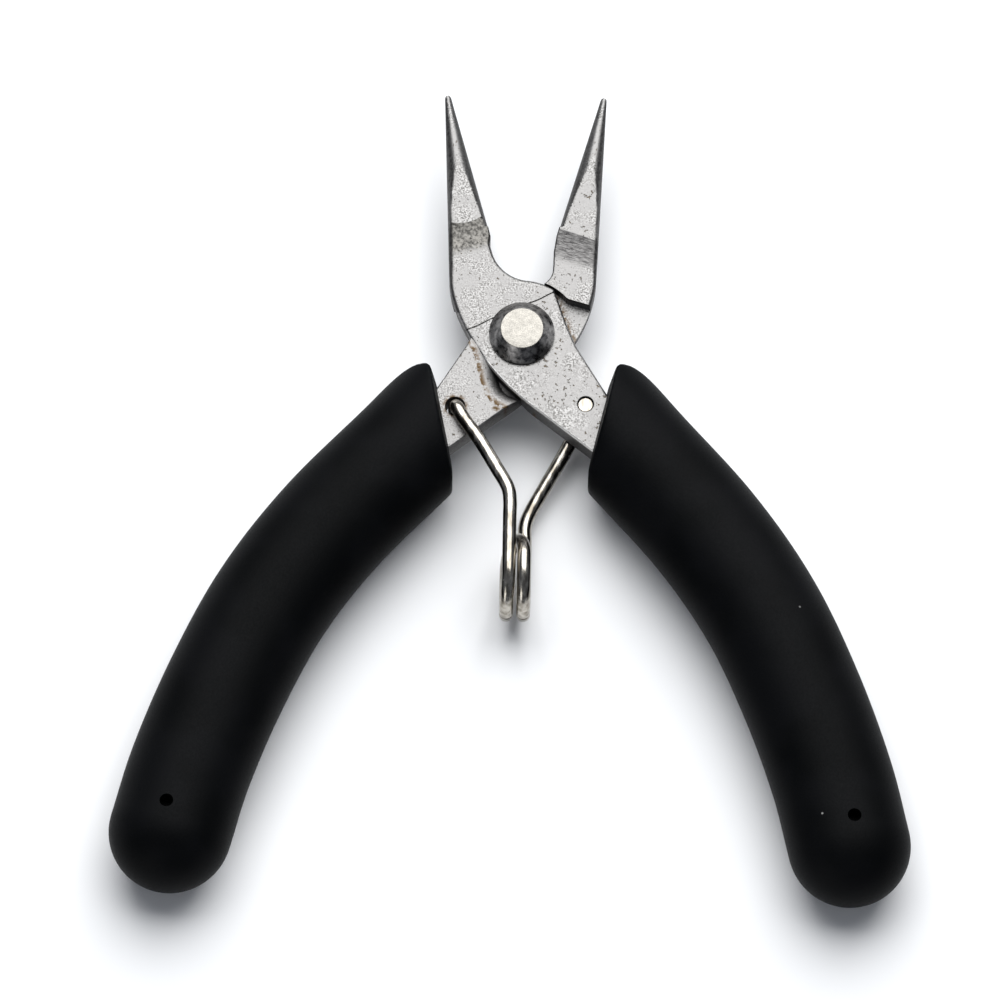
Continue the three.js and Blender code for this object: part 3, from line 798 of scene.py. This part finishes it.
def moulded_vinyl():
    """Soft PVC: near black, matte, with a fine even grain from the mould and a few specks of dust."""
    made, tree, shader = material("moulded_black_vinyl")
    place = node(tree, "ShaderNodeTexCoord").outputs["Object"]
    grain = speckle(tree, place, 0.14, 2)
    cloud = speckle(tree, place, 7.0, 2, offset=0.3)
    colour = blended(tree, banded(tree, cloud, 0.35, 0.65), linear("030405"), linear("08090B"))
    dust = node(tree, "ShaderNodeTexVoronoi", {"feature": "F1"}, Vector=place, Scale=1 / (2.4 * MM),
                Randomness=1.0)
    lot = node(tree, "ShaderNodeSeparateColor", Color=dust.outputs["Color"]).outputs[0]
    chosen = banded(tree, lot, 0.86, 0.88)
    speck = banded(tree, dust.outputs["Distance"], 0.03, 0.07, 1.0, 0.0)
    dusty = sum_of(tree, "MULTIPLY", chosen, speck)
    colour = blended(tree, dusty, colour, linear("8E8E8C"))
    tree.links.new(colour, shader.inputs["Base Color"])
    shader.inputs["Specular IOR Level"].default_value = 0.05
    tree.links.new(banded(tree, grain, 0.3, 0.7, 0.46, 0.58), shader.inputs["Roughness"])
    bump = node(tree, "ShaderNodeBump", Strength=0.3, Distance=0.03 * MM, Height=grain)
    tree.links.new(bump.outputs[0], shader.inputs["Normal"])
    return made


def block(ring, low, high):
    """A flat outline given thickness, as a cutter."""
    count = len(ring)
    vertices = [(x, y, low) for x, y in ring] + [(x, y, high) for x, y in ring]
    faces = [tuple(range(count))[::-1], tuple(range(count, 2 * count))]
    faces += [(i, (i + 1) % count, count + (i + 1) % count, count + i) for i in range(count)]
    return as_object("cutter", vertices, faces, Matrix.Identity(4), vinyl_look, 180)


def cut(target, cutter, operation="DIFFERENCE"):
    """The target with the cutter taken away, or kept to where the cutter is."""
    boolean = target.modifiers.new("cut", "BOOLEAN")
    boolean.operation = operation
    boolean.solver = "EXACT"
    boolean.object = cutter
    name = target.name
    mesh = evaluated_mesh(target)
    bpy.data.objects.remove(cutter)
    made = bpy.data.objects.new(name, mesh)
    bpy.context.scene.collection.objects.link(made)
    return made


def mouth_wedge(side):
    """One leaning face of the mouth, which lets the spring's legs pass when the tool closes."""
    wedge = block([(-20, 0), (20, 0), (20, 30), (-20, 30)], -15, 15)
    wedge.data.transform(
        Matrix.Translation((*MOUTH, 0)) @ Matrix.Rotation(MOUTH_FACING, 4, "Z")
        @ Matrix.Translation((0, 0, side * MOUTH_FLAT)) @ Matrix.Rotation(side * MOUTH_LEAN, 4, "X"))
    return wedge


def moulded_grip(name, twist, place):
    end = GRIP_LINE[-1]
    ahead = GRIP_LINE[-1] - GRIP_LINE[-2]
    ahead /= np.linalg.norm(ahead)
    past = END_ROUNDING * np.sin(np.linspace(0, math.pi / 2, 24))[1:]
    line = np.vstack([GRIP_LINE[::2], GRIP_LINE[-1:], end + ahead * past[:, None]])
    line = line[np.concatenate([[True], np.linalg.norm(np.diff(line, axis=0), axis=1) > 1e-4])]
    beyond = np.clip((line - end) @ ahead, 0, END_ROUNDING * 0.9995)
    shares = np.sqrt(1 - (beyond / END_ROUNDING) ** 2)
    level = np.column_stack([line, np.zeros(len(line))])
    tube = swept(level, shares, GRIP_HALF_WIDTH, GRIP_HALF_THICKNESS, 96, vinyl_look)
    grip = bpy.data.objects.new(name, tube)
    bpy.context.scene.collection.objects.link(grip)
    area = [(40, -9.9), (11.9, -9.9)] + bow((11.9, -9.9), (9.0, -4.6), (6.5, -7.7), 10)[1:]
    area += bow((3.4, -14), (2.0, -16.6), (2.05, -17.6), 5) + [(2.1, -18.5), (-5, -25), (-5, -80), (40, -80)]
    grip = cut(grip, block(area[::-1], -8, 8), "INTERSECT")
    for side in (1, -1):
        grip = cut(grip, mouth_wedge(side))
    remesh = grip.modifiers.new("remesh", "REMESH")
    remesh.mode = "VOXEL"
    remesh.voxel_size = VOXEL
    relax = grip.modifiers.new("relax", "SMOOTH")
    relax.factor = 0.5
    relax.iterations = 8
    mesh = evaluated_mesh(grip)
    grip = bpy.data.objects.new(name, mesh)
    bpy.context.scene.collection.objects.link(grip)
    for side in (1, -1):
        face = side * GRIP_HALF_THICKNESS
        ring = arc(VENT, VENT_RADIUS, 0, 2 * math.pi, 32)[:-1]
        grip = cut(grip, block(ring, min(face - side * 2, face + side), max(face - side * 2, face + side)))
    mesh = grip.data
    mesh.transform(place @ GRIP_TWIST_CENTRE @ twist @ GRIP_TWIST_CENTRE.inverted())
    mesh.shade_smooth()
    mesh.set_sharp_from_angle(angle=math.radians(50))
    mesh.materials.clear()
    mesh.materials.append(vinyl_look)
    return grip


vinyl_look = moulded_vinyl()
for name, body, twist, place in (("right_grip", "front_half", GRIP_TWIST.inverted(), FRONT),
                                 ("left_grip", "back_half", GRIP_TWIST, BACK)):
    sleeve = moulded_grip(name + "_vinyl", twist, place)
    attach(sleeve, body)
    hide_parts(name)


# ---------------------------------------------------------------- table, light and camera
# The pliers lie on a plain white table under a wide soft light from beyond the jaws. A small low light
# from the lower left brings out the near side of the rivet.

scene = bpy.context.scene
scene.view_settings.view_transform = "Standard"

table_size = 2.0
table = as_object("table", [(-table_size, -table_size, 0), (table_size, -table_size, 0),
                            (table_size, table_size, 0), (-table_size, table_size, 0)], [(0, 1, 2, 3)],
                  Matrix.Identity(4), None)
white, _, white_shader = material("white_laminate")
white_shader.inputs["Base Color"].default_value = linear("F6F7F8")
white_shader.inputs["Roughness"].default_value = 0.9
white_shader.inputs["Specular IOR Level"].default_value = 0.1
table.data.materials.clear()
table.data.materials.append(white)

world = bpy.data.worlds.new("room")
world.use_nodes = True
world.node_tree.nodes["Background"].inputs["Color"].default_value = linear("DDE4F2")
world.node_tree.nodes["Background"].inputs["Strength"].default_value = 0.2
scene.world = world


def softbox(name, direction, distance, size, power):
    """A square lamp that faces the pliers."""
    lamp = bpy.data.lights.new(name, "AREA")
    lamp.shape = "SQUARE"
    lamp.size = size
    lamp.energy = power
    holder = bpy.data.objects.new(name, lamp)
    toward = Vector(direction).normalized()
    holder.location = toward * distance
    holder.rotation_mode = "QUATERNION"
    holder.rotation_quaternion = toward.to_track_quat("Z", "Y")
    scene.collection.objects.link(holder)


softbox("overhead_light", (0.07, 0.6, 0.9), 0.95, 1.15, 17.5)
softbox("low_fill_light", (-0.55, -0.8, 0.3), 0.9, 0.4, 1.2)

CAMERA_ELEVATION = math.radians(70)
CAMERA_DISTANCE = 2.4
ROLL = math.radians(1)
camera = bpy.data.objects.new("camera", bpy.data.cameras.new("camera"))
camera.data.sensor_width = 36
camera.data.lens = 864
aim = PIVOT + Vector((-1.9, -17.74, 1.4)) * MM
back = Vector((0, -math.cos(CAMERA_ELEVATION), math.sin(CAMERA_ELEVATION)))
camera.location = aim + back * CAMERA_DISTANCE
camera.rotation_mode = "QUATERNION"
camera.rotation_quaternion = back.to_track_quat("Z", "Y") @ Matrix.Rotation(ROLL, 3, "Z").to_quaternion()
scene.collection.objects.link(camera)
scene.camera = camera
